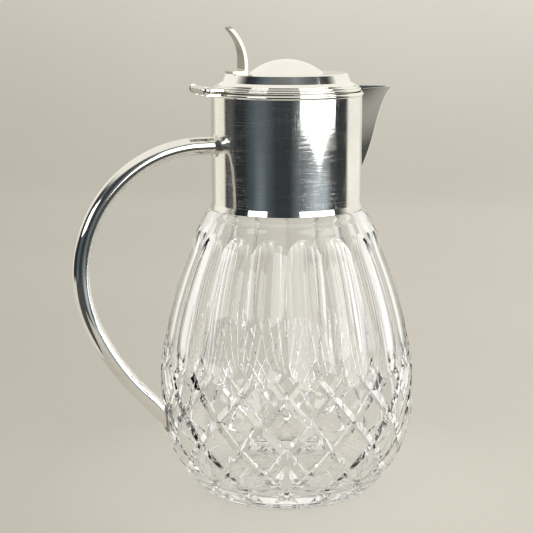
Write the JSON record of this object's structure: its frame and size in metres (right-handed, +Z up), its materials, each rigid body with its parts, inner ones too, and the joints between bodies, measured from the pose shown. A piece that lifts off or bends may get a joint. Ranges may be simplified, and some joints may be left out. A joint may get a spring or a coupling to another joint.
{
  "type": "lidded cut-crystal water pitcher",
  "caption": "Cut-crystal water pitcher with a silver-plated collar, V spout, tube handle and hinged domed lid with a thumbpiece; it pours with the lid raised or shut.",
  "frame": {"origin": "centre of the foot, on the surface it stands on", "axes": "+Z up, +X towards the spout, -X towards the handle and hinge, Y across the lid hinge"},
  "size_m": [0.1997, 0.1492, 0.2684],
  "materials": {
    "lead_crystal": "polished clear cut crystal",
    "collar_plate": "polished silver plate with fine wiping scratches",
    "handle_plate": "polished silver plate",
    "spout_plate": "polished silver plate",
    "silver_plate": "polished silver plate",
    "liner_plate": "softly polished silver plate, slightly dull inside",
    "bedding_plaster": "matt white bedding cement",
    "pad_composition": "matt grey"
  },
  "bodies": {
    "jug": {"glass_body": "lead_crystal", "neck_bedding": "bedding_plaster", "collar_shell": "collar_plate", "collar_foot_band": "silver_plate", "collar_rim_bead": "silver_plate", "spout": "spout_plate", "handle_tube": "handle_plate", "handle_seat": "silver_plate", "handle_pad": "pad_composition", "collar_hinge_leaf": "silver_plate", "hinge_pin": "silver_plate", "pin_head_near": "silver_plate", "pin_head_far": "silver_plate"},
    "lid": {"lid_shell": "silver_plate", "lid_band": "silver_plate", "lid_liner": "liner_plate", "thumbpiece": "silver_plate", "lid_hinge_leaf": "silver_plate"}
  },
  "joints": [
    {"name": "lid_hinge", "type": "hinge", "parent": "jug", "child": "lid", "pos_m": [-0.051, 0, 0.234], "axis": [0, -1, 0], "range_deg": [0, 95]}
  ]
}
